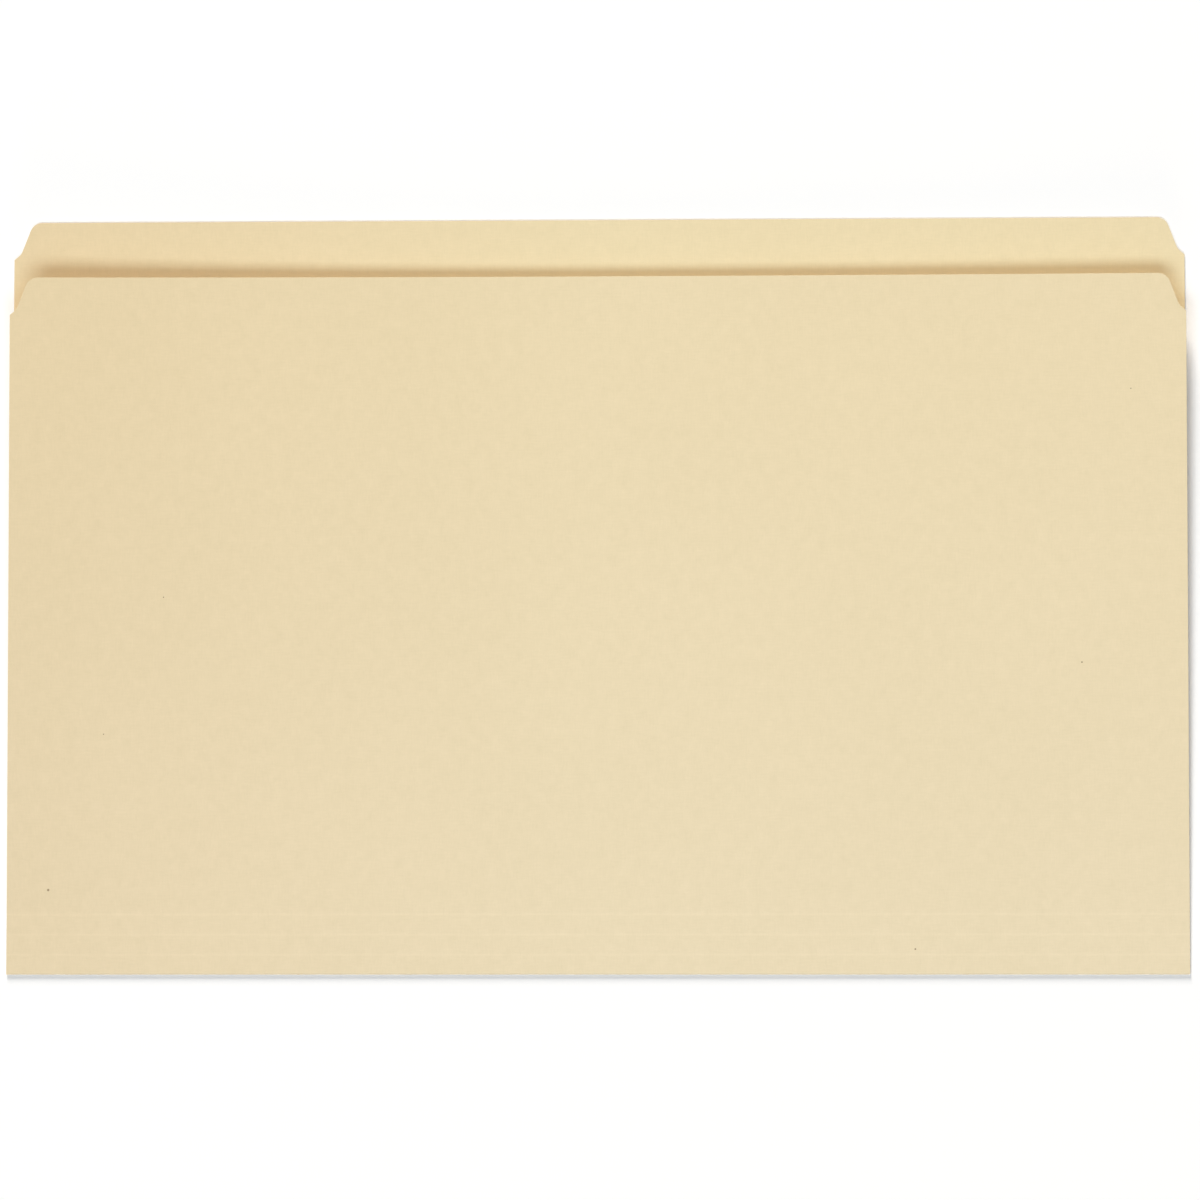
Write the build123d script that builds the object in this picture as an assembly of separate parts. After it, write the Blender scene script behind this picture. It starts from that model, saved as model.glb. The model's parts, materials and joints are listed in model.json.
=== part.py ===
from build123d import *
import os

# Driving dimensions, in millimetres and degrees
FOLDER_WIDTH = 374.65  # along the fold, legal size: 14 3/4 in
BACK_HEIGHT = 241.3  # fold edge to the top of the tab: 9 1/2 in
TAB_EXPOSURE = 19.05  # how far the tab stands above the cover: 3/4 in
STOCK = 0.28  # thickness of the card: 11 point
SCORE_PITCH = 6.35  # fold edge to the first score, and score to score: 1/4 in
SCORE_COUNT = 3  # scored for 3/4 in of expansion
TAB_CORNER_RADIUS = 4.0  # round between the top edge and the flank
TAB_FLANK = 7.0  # straight stretch of the flank
TAB_FLANK_ANGLE = 69.0  # flank against the top edge
TAB_FOOT_RADIUS = 4.5  # hollow between the flank and the foot
TAB_FOOT = 1.7  # straight stretch of the foot, in from the side edge
TAB_FOOT_ANGLE = 50.0  # foot against the side edge
CLOSED_GAP = 0.1  # between the two leaves when the folder is shut
CREASE_CLEARANCE = 0.03  # between a crease and the panels that turn about it
REST_ANGLE = 1.4  # how far the cover springs open when it is let go

# Places worked out from the driving dimensions
half_width = FOLDER_WIDTH / 2
fold_edge = -BACK_HEIGHT / 2
cover_height = BACK_HEIGHT - TAB_EXPOSURE
cover_bottom = STOCK + CLOSED_GAP
cover_middle = cover_bottom + STOCK / 2
fold_radius = STOCK + CLOSED_GAP / 2
score_radius = STOCK / 2
fold_reach = 2 * fold_radius + CREASE_CLEARANCE
score_reach = score_radius + CREASE_CLEARANCE
fold_axis = Axis((0, fold_edge + fold_radius, fold_radius), (1, 0, 0))


def heading(angle):
    """Unit vector at an angle from the X axis."""
    return Vector(1, 0).rotate(Axis.Z, angle)


def tab_corner():
    """Cut corner of a leaf: from its foot on the side edge, at the origin, up to the top edge."""
    foot_heading = 90 + TAB_FOOT_ANGLE
    flank_heading = 180 - TAB_FLANK_ANGLE
    foot = PolarLine((0, 0), TAB_FOOT, angle=foot_heading)
    hollow = JernArc(foot @ 1, heading(foot_heading), TAB_FOOT_RADIUS, flank_heading - foot_heading)
    flank = PolarLine(hollow @ 1, TAB_FLANK, angle=flank_heading)
    crown = JernArc(flank @ 1, heading(flank_heading), TAB_CORNER_RADIUS, TAB_FLANK_ANGLE)
    return Wire([foot, hollow, flank, crown])


def leaf(height):
    """Flat outline of one whole leaf of card, with its lower edge on the fold edge."""
    corner = tab_corner()
    shoulder = fold_edge + height - (corner @ 1).Y
    right = Pos(half_width, shoulder) * corner
    left = mirror(right, Plane.YZ)
    sides = Polyline(right @ 0, (half_width, fold_edge), (-half_width, fold_edge), left @ 0)
    top = Line(right @ 1, left @ 1)
    return make_face(right.edges() + left.edges() + sides.edges() + top.edges())


def band(outline, start, end, bottom):
    """The card of a leaf between two distances from the fold edge, with its underside at bottom."""
    across = Pos(0, fold_edge + (start + end) / 2) * Rectangle(FOLDER_WIDTH, end - start)
    return extrude(Pos(0, 0, bottom) * (outline & across), STOCK, dir=(0, 0, 1))


def crease(radius, distance, middle):
    """A round bead of card along the fold, across the full width."""
    rod = Cylinder(radius, FOLDER_WIDTH, rotation=(0, 90, 0))
    return Pos(0, fold_edge + distance, middle) * rod


def opened(piece):
    """A piece of the cover, turned about the main fold from shut to its rest angle."""
    return piece.rotate(fold_axis, REST_ANGLE)


def back_pieces():
    """Back leaf, its tab strip beyond the cover, and the main fold."""
    back = leaf(BACK_HEIGHT)
    return {
        "back_panel": band(back, fold_reach, cover_height, 0),
        "index_tab": band(back, cover_height, BACK_HEIGHT, 0),
        "main_fold_crease": crease(fold_radius, fold_radius, fold_radius),
    }


def cover_pieces():
    """Front leaf: the expansion strips between the scores, the score creases and the panel."""
    cover = leaf(cover_height)
    pieces = {}
    start = fold_reach
    for number in range(1, SCORE_COUNT + 1):
        score = number * SCORE_PITCH
        pieces[f"expansion_strip_{number}"] = band(cover, start, score - score_reach, cover_bottom)
        pieces[f"score_crease_{number}"] = crease(score_radius, score, cover_middle)
        start = score + score_reach
    pieces["front_panel"] = band(cover, start, cover_height, cover_bottom)
    return {name: opened(piece) for name, piece in pieces.items()}


os.makedirs("parts", exist_ok=True)
for name, piece in {**back_pieces(), **cover_pieces()}.items():
    export_step(piece, f"parts/{name}.step")
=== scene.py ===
import json
import math

import bmesh
import bpy
from mathutils import Matrix, Vector
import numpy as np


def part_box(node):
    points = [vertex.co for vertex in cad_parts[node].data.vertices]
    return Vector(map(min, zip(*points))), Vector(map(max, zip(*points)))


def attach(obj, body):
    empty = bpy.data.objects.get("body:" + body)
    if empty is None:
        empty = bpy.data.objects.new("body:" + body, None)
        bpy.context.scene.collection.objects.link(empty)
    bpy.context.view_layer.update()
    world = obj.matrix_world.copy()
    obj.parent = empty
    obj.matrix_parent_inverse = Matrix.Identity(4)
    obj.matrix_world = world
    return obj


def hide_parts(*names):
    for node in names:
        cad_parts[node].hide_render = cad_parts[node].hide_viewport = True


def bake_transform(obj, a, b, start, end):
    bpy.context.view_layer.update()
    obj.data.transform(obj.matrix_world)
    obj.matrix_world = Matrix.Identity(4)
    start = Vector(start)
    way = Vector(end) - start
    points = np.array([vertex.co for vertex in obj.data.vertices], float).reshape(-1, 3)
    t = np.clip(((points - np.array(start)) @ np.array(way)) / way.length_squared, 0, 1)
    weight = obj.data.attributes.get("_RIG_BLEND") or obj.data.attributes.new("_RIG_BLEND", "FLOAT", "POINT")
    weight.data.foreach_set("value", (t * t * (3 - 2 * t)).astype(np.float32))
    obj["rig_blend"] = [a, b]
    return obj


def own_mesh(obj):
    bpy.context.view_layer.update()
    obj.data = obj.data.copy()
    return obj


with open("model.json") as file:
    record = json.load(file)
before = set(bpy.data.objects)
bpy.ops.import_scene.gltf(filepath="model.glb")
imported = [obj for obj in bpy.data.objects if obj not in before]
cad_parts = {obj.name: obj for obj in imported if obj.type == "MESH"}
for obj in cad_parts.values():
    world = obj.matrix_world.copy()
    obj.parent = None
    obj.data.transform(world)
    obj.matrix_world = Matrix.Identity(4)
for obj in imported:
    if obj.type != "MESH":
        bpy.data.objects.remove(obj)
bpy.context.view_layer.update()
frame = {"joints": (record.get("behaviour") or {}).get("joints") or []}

# Sizes read from the frame, in metres
MM = 0.001
SCORE_COUNT = 3
joints = {joint["name"]: joint for joint in frame["joints"]}
half_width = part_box("back_panel")[1].x
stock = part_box("back_panel")[1].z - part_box("back_panel")[0].z
fold_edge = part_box("main_fold_crease")[0].y
back_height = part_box("index_tab")[1].y - fold_edge
cover_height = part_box("index_tab")[0].y - fold_edge
fold_axis = Vector(joints["cover_fold"]["pos_m"])
fold_radius = fold_axis.z
rest_angle = math.radians(-joints["cover_fold"]["range_deg"][0])
shut_to_rest = (
    Matrix.Translation(fold_axis)
    @ Matrix.Rotation(rest_angle, 4, "X")
    @ Matrix.Translation(-fold_axis)
)
rest_to_shut = shut_to_rest.inverted()
score_joints = [joints[f"score_{number}_fold"] for number in range(1, SCORE_COUNT + 1)]
scores = [(rest_to_shut @ Vector(joint["pos_m"])).y - fold_edge for joint in score_joints]

# Cut corners of both leaves, as in the CAD; angles are in degrees
CORNER_RADIUS = 4.0 * MM
FLANK = 7.0 * MM
FLANK_ANGLE = 69.0
FOOT_RADIUS = 4.5 * MM
FOOT = 1.7 * MM
FOOT_ANGLE = 50.0

# Finer form of the card
EDGE_EASE = 0.05 * MM  # how far the cut edges are worn round
EDGE_SEGMENTS = 2
SCORE_BAND = 1.2 * MM  # half the width of the piece of card that carries a score
GROOVE_HALF_WIDTH = 0.7 * MM
GROOVE_DEPTH = 0.012 * MM
SCORE_WEAR_AND_SHADE = 0.16  # how strongly a score is marked, as a share of the fold: paler outside from wear, darker inside as painted shade
# the fold is marked hardest: paler outside from wear and as a painted highlight on its round edge, darker
# inside as painted shade
FOLD_WEAR_AND_SHADE = 1.0
CURL_LEFT = 4.6 * MM  # how far the cover's top corners curl up from flat
CURL_RIGHT = 2.2 * MM
COLUMNS = 64
CORNER_STEPS = 6  # few enough that the top row stays taller than the worn edge
FOLD_STEPS = 20
SCORE_STEPS = 12
ROW_STEP = 8.0 * MM

# Card, as linear colours
CARD_OUTER = (0.831, 0.710, 0.487)
# inner face: a warmer dye, painted lighter to make up for the shadow the cover casts from the front lamp on
# the tab
CARD_INNER_LIGHTENED = (0.862, 0.723, 0.453)
# cut edges: paler than the faces, partly the raw cut and partly a painted highlight along the edges
CARD_EDGE = (0.890, 0.790, 0.570)
CARD_SPECULAR = 0.25
ROUGHNESS = (0.78, 0.92)  # over the mottle's values from the first to the last below
ROUGHNESS_MOTTLE = (0.2, 0.8)
FIBRE_DEPTH = 0.012 * MM
EDGE_FIBRE_DEPTH = 0.024 * MM

# Pattern of the card: noise per metre along x and y, and from the inner face to the outer one
FIBRES_ALONG = (1900, 330, 7)
FIBRES_ACROSS = (300, 1700, 7)
FIBRE_DETAIL = 3.0
MOTTLE = (260, 200, 5)
MOTTLE_DETAIL = 4.0
CLOUD = (14, 11, 3)
CLOUD_DETAIL = 2.0
NOISE_MIDDLE = 0.5  # middle of a noise's values, and how far either side of it they are used
NOISE_REACH = 0.25
FIBRE_TONE = 0.035  # share by which the pattern makes the card lighter and darker
MOTTLE_TONE = 0.02
CLOUD_TONE = 0.01
TONE_REACH = 0.1  # how far the whole tone may go from 1
TONE_CONTRAST = (1.0, 1.0, 1.4)  # how strongly it acts on red, green and blue

# Painted shade and highlight, and wear of the card
PAINTED_SHADE_LEFT_OUTER = (0.040, 0.067, 0.090)  # painted shade: share of each colour lost at the left edge, where the light falls off
PAINTED_SHADE_LEFT_INNER = (0.060, 0.100, 0.115)
PAINTED_SHADE_LEFT_FROM = 0.0  # the painted shade grows from here to the left edge
PAINTED_SHADE_TOP = (0.0, 0.015, 0.070)  # painted shade: share of each colour that the cover loses as well towards its top edge, where the light is warmer
WORN_PALER_AND_HIGHLIGHT = 0.16  # share by which the most marked card is paler outside: wear, and at the fold a painted highlight
PAINTED_CREASE_SHADE = 0.25  # and darker inside: painted shade in the crease

# Dark fibres: fine ones, at most one to a cell of a grid of cells, and a few large ones
FLECK_CELLS = 70.0  # cells per metre
FLECK_RARITY = 0.8  # share of the cells that stay bare
FLECK_RADIUS = 0.014  # of the largest, in cells
FLECK_BLUR = 0.008
FLECK_STRENGTH = 0.35
SPECK_COLOUR = (0.19, 0.11, 0.05)
SPECK_STRENGTH = 0.8
SPECK_CORE = 0.4  # share of the radius that is dark all through
SPECKS = (  # large ones on the cover: x, distance from the fold edge, radius
    (-174.1 * MM, 26.8 * MM, 0.50 * MM),
    (100.9 * MM, 8.0 * MM, 0.36 * MM),
    (153.8 * MM, 98.6 * MM, 0.34 * MM),
    (-137.8 * MM, 119.9 * MM, 0.27 * MM),
    (-156.7 * MM, 76.3 * MM, 0.25 * MM),
    (169.7 * MM, 185.5 * MM, 0.25 * MM),
)

# Camera, solved from the photo's edges with the folder's known size, in metres and degrees
CAMERA_PLACE = (0.0883, -0.2106, 2.0)
CAMERA_TILT = -5.961
CAMERA_PAN = -2.497
CAMERA_ROLL = -0.107
CAMERA_REACH = 20.0
FOCAL_PIXELS = 6327.0
PHOTO_PIXELS = 1200
SENSOR_MM = 36.0

# Light, in metres and degrees: each level is the share of white that it gives a flat surface
LAMP_DISTANCE = 10.0
KEY_HEADING = 190.0
KEY_ELEVATION = 57.0
KEY_SIZE = (8.4, 3.4)
KEY_LEVEL = 0.575
KEY_COLOUR = (0.74, 0.882, 1.0)
FRONT_HEADING = 180.0
FRONT_ELEVATION = 10.0
FRONT_SIZE = (2.0, 1.7)
FRONT_LEVEL = 0.04
FRONT_COLOUR = (1.0, 0.80, 0.55)
LOW_HEADING = 350.0
LOW_ELEVATION = 28.0
LOW_SIZE = (2.6, 4.6)
LOW_LEVEL = 0.48
LOW_COLOUR = (1.0, 0.96, 0.89)
SKY_LEVEL = 0.13
SKY_COLOUR = (1.0, 0.62, 0.34)
BACKDROP_COLOUR = (1.0, 1.0, 1.0)

# Floor
FLOOR_COLOUR = (0.985, 0.978, 0.975)
FLOOR_GLOW = (0.03, 0.035, 0.04)
FLOOR_ROUGHNESS = 0.95
FLOOR_HALF_WIDTH = 1.6
FLOOR_GAP = 0.45 * MM  # the card isn't dead flat, so its edges stand this far above the floor


def arc(start, first, last, radius):
    """Points of an arc that leaves start at one heading and ends at another, in degrees."""
    side = math.copysign(1, last - first)
    begin = math.radians(first)
    points = []
    for step in range(1, CORNER_STEPS + 1):
        now = math.radians(first + (last - first) * step / CORNER_STEPS)
        across = side * radius * (math.sin(now) - math.sin(begin))
        along = side * radius * (math.cos(begin) - math.cos(now))
        points.append((start[0] + across, start[1] + along))
    return points


def run(start, heading, length):
    """End of a straight run that leaves start at a heading in degrees."""
    turn = math.radians(heading)
    return start[0] + length * math.cos(turn), start[1] + length * math.sin(turn)


def tab_corner():
    """Right-hand cut corner, as (x, y) from its foot on the side edge, up to the top edge."""
    foot_heading = 90 + FOOT_ANGLE
    flank_heading = 180 - FLANK_ANGLE
    points = [(0.0, 0.0)]
    points.append(run(points[-1], foot_heading, FOOT))
    points += arc(points[-1], foot_heading, flank_heading, FOOT_RADIUS)
    points.append(run(points[-1], flank_heading, FLANK))
    points += arc(points[-1], flank_heading, 180, CORNER_RADIUS)
    return points


def straight_rows(start, end):
    """(distance from the fold edge, half width) of evenly spaced rows of full width."""
    count = max(1, round((end - start) / ROW_STEP))
    return [(start + (end - start) * i / count, half_width) for i in range(count + 1)]


def cornered_rows(start, height):
    """Rows of a leaf from start up to its top edge, following the cut corners."""
    corner = tab_corner()
    shoulder = height - corner[-1][1]
    rows = straight_rows(start, shoulder)
    rows += [(shoulder + y, half_width + x) for x, y in corner[1:]]
    return rows


def unpressed(distance):
    """How hard plain card is scored: not at all."""
    return 0.0


def card_grid(bm, rows, place, lay, press, face):
    """Vertices of one face of a piece of card, with their places on the flattened sheet."""
    sheet = bm.verts.layers.float_vector["sheet"]
    pressed = bm.verts.layers.float["pressed"]
    grid = []
    for distance, width in rows:
        line = []
        for column in range(COLUMNS + 1):
            x = width * (2 * column / COLUMNS - 1)
            vertex = bm.verts.new(place(x, distance, face))
            vertex[sheet] = (x, lay(distance), face)
            vertex[pressed] = press(distance)
            line.append(vertex)
        grid.append(line)
    return grid


def card_rim(last):
    """(row, column) of each vertex round a card's grid, in order; last is its top row."""
    rim = [(i, 0) for i in range(last, 0, -1)]
    rim += [(0, j) for j in range(COLUMNS)]
    rim += [(i, COLUMNS) for i in range(last)]
    rim += [(last, j) for j in range(COLUMNS, 0, -1)]
    return rim


def card_mesh(name, rows, place, free_top, lay, press):
    """A closed mesh of card: two faces and the walls round them, with its free edges marked."""
    bm = bmesh.new()
    bm.verts.layers.float_vector.new("sheet")
    bm.verts.layers.float.new("pressed")
    worn = bm.edges.layers.float.new("bevel_weight_edge")
    grids = [card_grid(bm, rows, place, lay, press, face) for face in (0, 1)]
    inner, outer = grids
    last = len(rows) - 1
    for i in range(last):
        for j in range(COLUMNS):
            bm.faces.new((outer[i][j], outer[i][j + 1], outer[i + 1][j + 1], outer[i + 1][j]))
            bm.faces.new((inner[i][j], inner[i + 1][j], inner[i + 1][j + 1], inner[i][j + 1]))
    rim = card_rim(last)
    for (i, j), (k, m) in zip(rim, rim[1:] + rim[:1]):
        wall = bm.faces.new((inner[i][j], inner[k][m], outer[k][m], outer[i][j]))
        side = j == m and j in (0, COLUMNS)
        top = free_top and i == k == last
        if side or top:
            wall.material_index = 1
            for grid in grids:
                bm.edges.get((grid[i][j], grid[k][m]))[worn] = 1.0
    bmesh.ops.recalc_face_normals(bm, faces=bm.faces)
    mesh = bpy.data.meshes.new(name)
    bm.to_mesh(mesh)
    bm.free()
    return mesh


def card(name, rows, place, lay, press=unpressed, free_top=False):
    """A closed piece of card over a grid of rows.

    place(x, distance, face) gives a point of the inner face, 0, or the outer face, 1. lay gives
    the distance on the flattened sheet, and press how hard the card is scored there.
    """
    mesh = card_mesh(name, rows, place, free_top, lay, press)
    piece = bpy.data.objects.new(name, mesh)
    bpy.context.scene.collection.objects.link(piece)
    mesh.materials.append(manila_card)
    mesh.materials.append(cut_edge)
    ease = piece.modifiers.new("worn_edges", "BEVEL")
    ease.limit_method = "WEIGHT"
    ease.width = EDGE_EASE
    ease.segments = EDGE_SEGMENTS
    ease.material = 1
    return piece


def noise(nodes, links, vector, scale, detail, name):
    """A noise texture over the sheet, with a scale per axis."""
    stretch = nodes.new("ShaderNodeVectorMath")
    stretch.operation = "MULTIPLY"
    stretch.inputs[1].default_value = scale
    links.new(vector, stretch.inputs[0])
    texture = nodes.new("ShaderNodeTexNoise")
    texture.name = name
    texture.inputs["Scale"].default_value = 1.0
    texture.inputs["Detail"].default_value = detail
    links.new(stretch.outputs[0], texture.inputs["Vector"])
    return texture.outputs["Fac"]


def mapped(nodes, links, value, low, high, to_low, to_high):
    """A value mapped from one range onto another."""
    node = nodes.new("ShaderNodeMapRange")
    node.inputs["From Min"].default_value = low
    node.inputs["From Max"].default_value = high
    node.inputs["To Min"].default_value = to_low
    node.inputs["To Max"].default_value = to_high
    links.new(value, node.inputs["Value"])
    return node.outputs["Result"]


def varied(nodes, links, value, middle, reach, share):
    """A factor from 1 - share to 1 + share, as a value goes from below its middle to above."""
    return mapped(nodes, links, value, middle - reach, middle + reach, 1 - share, 1 + share)


def combined(nodes, links, operation, first, second):
    """Two values joined by a sum, product or the like; second may be a plain number."""
    node = nodes.new("ShaderNodeMath")
    node.operation = operation
    links.new(first, node.inputs[0])
    if isinstance(second, (int, float)):
        node.inputs[1].default_value = second
    else:
        links.new(second, node.inputs[1])
    return node.outputs[0]


def specks(nodes, links, sheet):
    """Where the dark fibres are: fine ones scattered all over, and the few large ones."""
    cells = nodes.new("ShaderNodeTexVoronoi")
    cells.inputs["Scale"].default_value = FLECK_CELLS
    links.new(sheet, cells.inputs["Vector"])
    chance = nodes.new("ShaderNodeSeparateColor")
    links.new(cells.outputs["Color"], chance.inputs["Color"])
    reach = mapped(nodes, links, chance.outputs["Red"], FLECK_RARITY, 1.0, 0.0, FLECK_RADIUS)
    inside = combined(nodes, links, "SUBTRACT", reach, cells.outputs["Distance"])
    dark = mapped(nodes, links, inside, 0.0, FLECK_BLUR, 0.0, FLECK_STRENGTH)
    for x, distance, radius in SPECKS:
        gap = nodes.new("ShaderNodeVectorMath")
        gap.operation = "DISTANCE"
        gap.inputs[1].default_value = (x, -distance, 1)
        links.new(sheet, gap.inputs[0])
        core = SPECK_CORE * radius
        spot = mapped(nodes, links, gap.outputs["Value"], radius, core, 0.0, SPECK_STRENGTH)
        dark = combined(nodes, links, "MAXIMUM", dark, spot)
    return dark


def patterns(nodes, links, sheet):
    """The card's noises: fibres both ways as one sum, soft mottle and broad clouds."""
    along = noise(nodes, links, sheet, FIBRES_ALONG, FIBRE_DETAIL, "fibres_along")
    across = noise(nodes, links, sheet, FIBRES_ACROSS, FIBRE_DETAIL, "fibres_across")
    mottle = noise(nodes, links, sheet, MOTTLE, MOTTLE_DETAIL, "mottle")
    cloud = noise(nodes, links, sheet, CLOUD, CLOUD_DETAIL, "cloud")
    return combined(nodes, links, "ADD", along, across), mottle, cloud


def wear_and_crease_shade(nodes, links, face):
    """A factor that makes the pressed lines paler outside, from wear and a painted highlight, and darker
    inside, a painted shade.
    """
    pressed = nodes.new("ShaderNodeAttribute")
    pressed.attribute_name = "pressed"
    most = mapped(nodes, links, face, 0, 1, -PAINTED_CREASE_SHADE, WORN_PALER_AND_HIGHLIGHT)
    change = combined(nodes, links, "MULTIPLY", pressed.outputs["Fac"], most)
    return combined(nodes, links, "ADD", change, 1.0)


def card_tone(nodes, links, fibres, mottle, cloud, face):
    """How light the card is from place to place, as a factor."""
    factors = (
        varied(nodes, links, mottle, NOISE_MIDDLE, NOISE_REACH, MOTTLE_TONE),
        varied(nodes, links, cloud, NOISE_MIDDLE, NOISE_REACH, CLOUD_TONE),
        wear_and_crease_shade(nodes, links, face),
    )
    tone = varied(nodes, links, fibres, 2 * NOISE_MIDDLE, 2 * NOISE_REACH, FIBRE_TONE)
    for factor in factors:
        tone = combined(nodes, links, "MULTIPLY", tone, factor)
    return tone


def card_shade(nodes, links, axes, tone):
    """A factor for each colour: the tone, and the painted shade towards the left edge and the cover's top.
    """
    # painted shade: the card darkens towards its left edge, and the cover warms towards its top, as the
    # light does
    left = mapped(nodes, links, axes["X"], PAINTED_SHADE_LEFT_FROM, -half_width, 0.0, 1.0)
    top = mapped(nodes, links, axes["Y"], 0, -cover_height, 0.0, 1.0)
    shade = nodes.new("ShaderNodeCombineXYZ")
    channels = zip("XYZ", PAINTED_SHADE_LEFT_INNER, PAINTED_SHADE_LEFT_OUTER, PAINTED_SHADE_TOP, TONE_CONTRAST)
    for channel, loss_inner, loss_outer, loss_top, contrast in channels:
        loss_left = mapped(nodes, links, axes["Z"], 0, 1, loss_inner, loss_outer)
        lost_left = combined(nodes, links, "MULTIPLY", left, loss_left)
        lost_top = combined(nodes, links, "MULTIPLY", top, loss_top)
        lost = combined(nodes, links, "ADD", lost_left, lost_top)
        kept = mapped(nodes, links, lost, 0, 1, 1.0, 0.0)
        mottled = varied(nodes, links, tone, 1.0, TONE_REACH, TONE_REACH * contrast)
        links.new(combined(nodes, links, "MULTIPLY", kept, mottled), shade.inputs[channel])
    return shade.outputs["Vector"]


def card_colour(nodes, links, sheet, axes, tone, outer, inner):
    """The colour of the card: its dye inside and outside, with the painted light and shade, and the specks
    over it.
    """
    dye = nodes.new("ShaderNodeMix")
    dye.data_type = "RGBA"
    dye.inputs["A"].default_value = (*inner, 1)
    dye.inputs["B"].default_value = (*outer, 1)
    links.new(axes["Z"], dye.inputs["Factor"])
    shaded = nodes.new("ShaderNodeVectorMath")
    shaded.operation = "MULTIPLY"
    links.new(dye.outputs["Result"], shaded.inputs[0])
    links.new(card_shade(nodes, links, axes, tone), shaded.inputs[1])
    stained = nodes.new("ShaderNodeMix")
    stained.data_type = "RGBA"
    stained.inputs["B"].default_value = (*SPECK_COLOUR, 1)
    links.new(specks(nodes, links, sheet), stained.inputs["Factor"])
    links.new(shaded.outputs["Vector"], stained.inputs["A"])
    return stained.outputs["Result"]


def card_material(name, outer, inner, fibre_depth):
    """Manila card: a dyed sheet with long fibres both ways, soft mottle and a few dark specks."""
    material = bpy.data.materials.new(name)
    material.use_nodes = True
    nodes = material.node_tree.nodes
    links = material.node_tree.links
    shader = nodes["Principled BSDF"]
    shader.inputs["Specular IOR Level"].default_value = CARD_SPECULAR

    place = nodes.new("ShaderNodeAttribute")
    place.attribute_name = "sheet"
    sheet = place.outputs["Vector"]
    split = nodes.new("ShaderNodeSeparateXYZ")
    links.new(sheet, split.inputs["Vector"])
    axes = split.outputs
    fibres, mottle, cloud = patterns(nodes, links, sheet)
    tone = card_tone(nodes, links, fibres, mottle, cloud, axes["Z"])
    colour = card_colour(nodes, links, sheet, axes, tone, outer, inner)
    links.new(colour, shader.inputs["Base Color"])

    grain = nodes.new("ShaderNodeBump")
    grain.inputs["Strength"].default_value = 1.0
    grain.inputs["Distance"].default_value = fibre_depth
    links.new(fibres, grain.inputs["Height"])
    links.new(grain.outputs["Normal"], shader.inputs["Normal"])
    rough = mapped(nodes, links, mottle, *ROUGHNESS_MOTTLE, *ROUGHNESS)
    links.new(rough, shader.inputs["Roughness"])
    return material


def shut_cover(x, distance, height):
    """A point of the shut cover, by distance from the fold edge and height, at its rest angle."""
    return shut_to_rest @ Vector((x, fold_edge + distance, height))


def cover_face(face):
    """Height of the shut cover's inner face, 0, or outer face, 1."""
    return 2 * fold_radius - stock + face * stock


def on_back(distance):
    """Distance along the flattened sheet of a place on the back leaf."""
    return distance


def on_cover(distance):
    """Distance along the flattened sheet of a place on the cover, on the fold's other side."""
    return -distance


def back_leaf():
    """The whole back leaf with its tab, lying flat."""

    def place(x, distance, face):
        return Vector((x, fold_edge + distance, stock * (1 - face)))

    rows = cornered_rows(fold_radius, back_height)
    piece = card("back_leaf_card", rows, place, on_back, free_top=True)
    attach(piece, "back")
    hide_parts("back_panel", "index_tab")


def main_fold():
    """The bent edge along the bottom, from the back leaf's end round to the cover's."""
    bend = math.pi - rest_angle
    rows = [(bend * step / FOLD_STEPS, half_width) for step in range(FOLD_STEPS + 1)]

    def place(x, turn, face):
        radius = fold_radius - stock * (1 - face)
        y = fold_axis.y - radius * math.sin(turn)
        z = fold_axis.z - radius * math.cos(turn)
        return Vector((x, y, z))

    def lay(turn):
        return fold_radius * math.cos(turn)

    def press(turn):
        # paler outside, partly a painted highlight on the round edge, and darker inside as painted shade
        return FOLD_WEAR_AND_SHADE * math.sin(turn) ** 2

    piece = card("main_fold_card", rows, place, lay, press)
    start = (0, fold_axis.y, 0)
    end = shut_cover(0, fold_radius, 2 * fold_radius)
    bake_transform(piece, "back", "strip_1", start=start, end=end)
    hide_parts("main_fold_crease")


def strip(number, start, end):
    """The flat card between two score bands, or between the fold and the first of them."""

    def place(x, distance, face):
        return shut_cover(x, distance, cover_face(face))

    rows = straight_rows(start, end)
    piece = card(f"expansion_strip_{number}_card", rows, place, on_cover)
    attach(piece, f"strip_{number}")
    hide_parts(f"expansion_strip_{number}")


def score_line(number, score, next_body):
    """The card either side of a score, with its pressed groove, bending at the score."""
    steps = range(-SCORE_STEPS, SCORE_STEPS + 1)
    rows = [(score + SCORE_BAND * step / SCORE_STEPS, half_width) for step in steps]

    def groove(distance):
        off = abs(distance - score) / GROOVE_HALF_WIDTH
        return math.cos(off * math.pi / 2) ** 2 if off < 1 else 0.0

    def place(x, distance, face):
        return shut_cover(x, distance, cover_face(face) - GROOVE_DEPTH * groove(distance))

    def press(distance):
        # paler outside from wear, darker inside as painted shade in the groove
        return SCORE_WEAR_AND_SHADE * groove(distance)

    piece = card(f"score_line_{number}_card", rows, place, on_cover, press)
    middle = cover_face(0.5)
    start = shut_cover(0, score - GROOVE_HALF_WIDTH, middle)
    end = shut_cover(0, score + GROOVE_HALF_WIDTH, middle)
    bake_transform(piece, f"strip_{number}", next_body, start=start, end=end)
    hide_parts(f"score_crease_{number}")


def front_leaf(start):
    """The cover above the scores, with its two top corners curled up a little."""

    def curl(x, distance):
        across = x / half_width
        up = (distance - start) / (cover_height - start)
        most = CURL_LEFT if across < 0 else CURL_RIGHT
        return most * across ** 2 * up

    def place(x, distance, face):
        return shut_cover(x, distance, cover_face(face) + curl(x, distance))

    rows = cornered_rows(start, cover_height)
    piece = card("front_leaf_card", rows, place, on_cover, free_top=True)
    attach(piece, "cover")
    anchor = shut_cover(0, start, cover_face(0))
    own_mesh(piece)
    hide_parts("front_panel")


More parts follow.
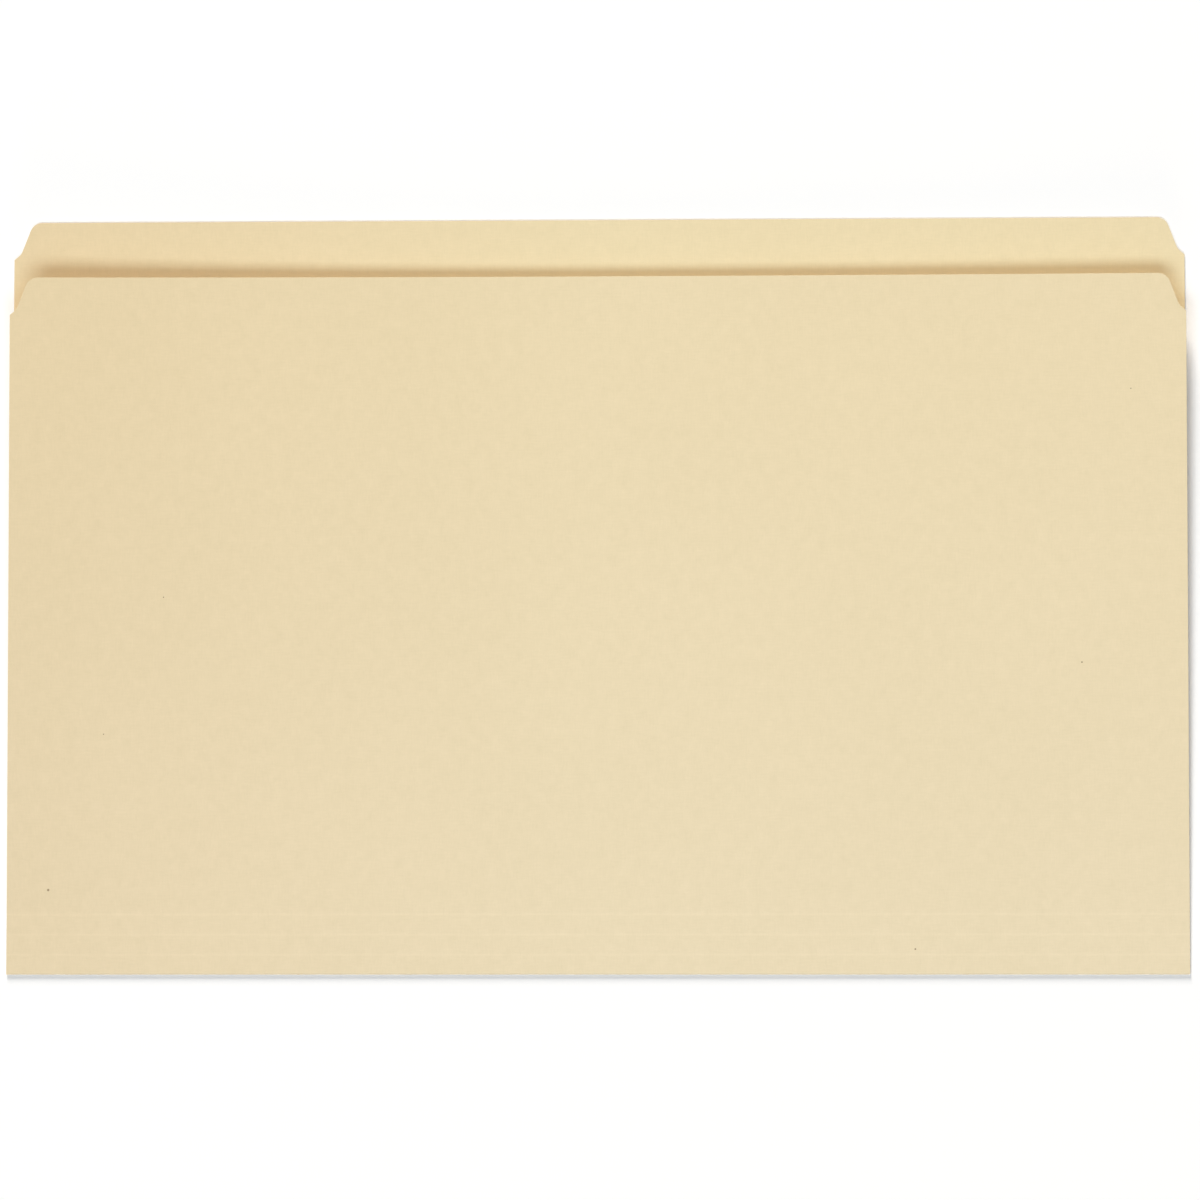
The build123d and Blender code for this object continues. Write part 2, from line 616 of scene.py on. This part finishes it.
def folder():
    """Every piece of card, from the back leaf round the fold to the cover."""
    back_leaf()
    main_fold()
    start = fold_radius
    for number, score in enumerate(scores, 1):
        strip(number, start, score - SCORE_BAND)
        score_line(number, score, score_joints[number - 1]["child"])
        start = score + SCORE_BAND
    front_leaf(start)


def seen(nodes, links):
    """1 for the rays that show the background: from the camera, mirrors and glass; 0 for others."""
    rays = nodes.new("ShaderNodeLightPath").outputs
    shown = combined(nodes, links, "MAXIMUM", rays["Is Camera Ray"], rays["Is Glossy Ray"])
    return combined(nodes, links, "MAXIMUM", shown, rays["Is Transmission Ray"])


def floor_material():
    """A matt white with a faint glow for what sees it, so that the lit floor reads as white."""
    material = bpy.data.materials.new("white_floor")
    material.use_nodes = True
    nodes = material.node_tree.nodes
    links = material.node_tree.links
    shader = nodes["Principled BSDF"]
    shader.inputs["Base Color"].default_value = (*FLOOR_COLOUR, 1)
    shader.inputs["Roughness"].default_value = FLOOR_ROUGHNESS
    shader.inputs["Specular IOR Level"].default_value = 0.0
    shader.inputs["Emission Color"].default_value = (*FLOOR_GLOW, 1)
    links.new(seen(nodes, links), shader.inputs["Emission Strength"])
    return material


def floor():
    """A plain white floor, which keeps the folder's shadow."""
    mesh = bpy.data.meshes.new("floor")
    signs = ((-1, -1), (1, -1), (1, 1), (-1, 1))
    corners = [(x * FLOOR_HALF_WIDTH, y * FLOOR_HALF_WIDTH, 0) for x, y in signs]
    mesh.from_pydata(corners, [], [(0, 1, 2, 3)])
    mesh.materials.append(floor_material())
    plane = bpy.data.objects.new("floor", mesh)
    plane.location.z = -FLOOR_GAP
    bpy.context.scene.collection.objects.link(plane)


def towards(heading, elevation):
    """Unit vector towards a compass heading, from +Y by way of +X, and an elevation, in degrees."""
    turn = math.radians(heading)
    rise = math.radians(elevation)
    flat = math.cos(rise)
    return Vector((math.sin(turn) * flat, math.cos(turn) * flat, math.sin(rise)))


def softbox(name, heading, elevation, size, level, colour):
    """A broad lamp that looks at the folder's middle."""
    place = LAMP_DISTANCE * towards(heading, elevation)
    light = bpy.data.lights.new(name, "AREA")
    light.shape = "RECTANGLE"
    light.size, light.size_y = size
    slant = math.sin(math.radians(elevation))
    light.energy = level * math.pi ** 2 * LAMP_DISTANCE ** 2 / slant
    light.color = colour
    stand = bpy.data.objects.new(name, light)
    stand.location = place
    stand.rotation_mode = "QUATERNION"
    stand.rotation_quaternion = place.to_track_quat("Z", "Y")
    stand.visible_camera = False
    bpy.context.scene.collection.objects.link(stand)


def sky():
    """Even light from all round, and a white backdrop for the camera."""
    world = bpy.data.worlds.new("studio")
    world.use_nodes = True
    nodes = world.node_tree.nodes
    links = world.node_tree.links
    light = nodes["Background"]
    light.inputs["Color"].default_value = (*SKY_COLOUR, 1)
    light.inputs["Strength"].default_value = SKY_LEVEL
    backdrop = nodes.new("ShaderNodeBackground")
    backdrop.inputs["Color"].default_value = (*BACKDROP_COLOUR, 1)
    backdrop.inputs["Strength"].default_value = 1.0
    either = nodes.new("ShaderNodeMixShader")
    links.new(seen(nodes, links), either.inputs["Fac"])
    links.new(light.outputs["Background"], either.inputs[1])
    links.new(backdrop.outputs["Background"], either.inputs[2])
    links.new(either.outputs["Shader"], nodes["World Output"].inputs["Surface"])
    bpy.context.scene.world = world


def camera():
    """The photo's camera: nearly overhead, a little to the fold's side, with a long lens."""
    lens = bpy.data.cameras.new("camera")
    lens.sensor_width = SENSOR_MM
    lens.lens = FOCAL_PIXELS / PHOTO_PIXELS * SENSOR_MM
    lens.clip_end = CAMERA_REACH
    eye = bpy.data.objects.new("camera", lens)
    turn = (
        Matrix.Rotation(math.radians(CAMERA_ROLL), 3, "Z")
        @ Matrix.Rotation(math.radians(CAMERA_TILT), 3, "X")
        @ Matrix.Rotation(math.radians(CAMERA_PAN), 3, "Y")
    )
    eye.matrix_world = Matrix.Translation(CAMERA_PLACE) @ turn.transposed().to_4x4()
    bpy.context.scene.collection.objects.link(eye)
    bpy.context.scene.camera = eye


bpy.context.scene.view_settings.view_transform = "Standard"
manila_card = card_material("manila_card", CARD_OUTER, CARD_INNER_LIGHTENED, FIBRE_DEPTH)
cut_edge = card_material("cut_edge", CARD_EDGE, CARD_EDGE, EDGE_FIBRE_DEPTH)
folder()
floor()
sky()
softbox("key", KEY_HEADING, KEY_ELEVATION, KEY_SIZE, KEY_LEVEL, KEY_COLOUR)
softbox("front", FRONT_HEADING, FRONT_ELEVATION, FRONT_SIZE, FRONT_LEVEL, FRONT_COLOUR)
softbox("low", LOW_HEADING, LOW_ELEVATION, LOW_SIZE, LOW_LEVEL, LOW_COLOUR)
camera()
